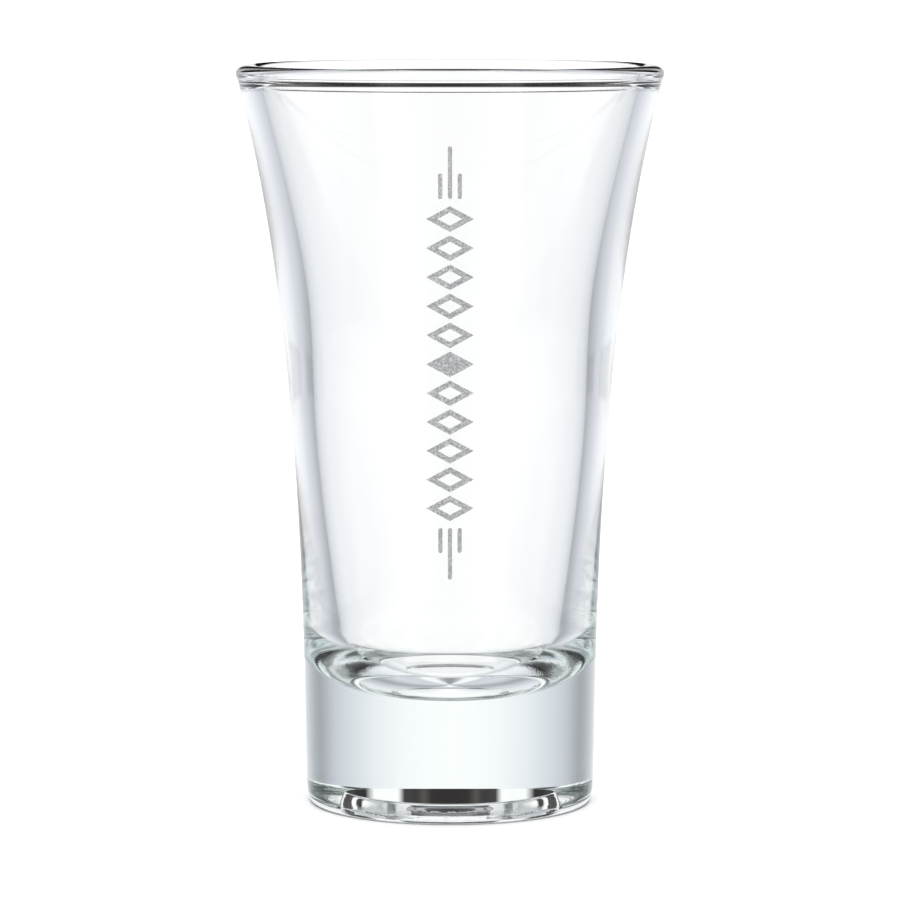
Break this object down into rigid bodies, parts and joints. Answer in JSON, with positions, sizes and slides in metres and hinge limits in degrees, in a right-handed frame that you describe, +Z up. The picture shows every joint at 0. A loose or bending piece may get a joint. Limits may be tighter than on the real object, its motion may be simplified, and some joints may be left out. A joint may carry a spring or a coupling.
{
  "type": "shot glass",
  "caption": "Flared clear shot glass with a thick solid base, a rounded lip, a round recess underneath and a frosted column of lozenges and rules engraved on its front.",
  "frame": {"origin": "middle of the foot ring, in the plane that the glass stands on", "axes": "+Z up along the axis of the glass, -Y towards the engraved front, +X to the right of someone who faces the engraving"},
  "size_m": [0.0502, 0.0502, 0.087],
  "materials": {
    "clear_glass": "pressed and fire-polished, clear",
    "engraved_glass": "frosted, engraved"
  },
  "bodies": {
    "root": {"glass": "clear_glass", "engraved_rule_low_left": "engraved_glass", "engraved_rule_low_middle": "engraved_glass", "engraved_rule_low_right": "engraved_glass", "engraved_lozenge_01": "engraved_glass", "engraved_lozenge_02": "engraved_glass", "engraved_lozenge_03": "engraved_glass", "engraved_lozenge_04": "engraved_glass", "engraved_lozenge_05": "engraved_glass", "engraved_diamond": "engraved_glass", "engraved_lozenge_07": "engraved_glass", "engraved_lozenge_08": "engraved_glass", "engraved_lozenge_09": "engraved_glass", "engraved_lozenge_10": "engraved_glass", "engraved_lozenge_11": "engraved_glass", "engraved_rule_high_left": "engraved_glass", "engraved_rule_high_middle": "engraved_glass", "engraved_rule_high_right": "engraved_glass"}
  },
  "joints": []
}
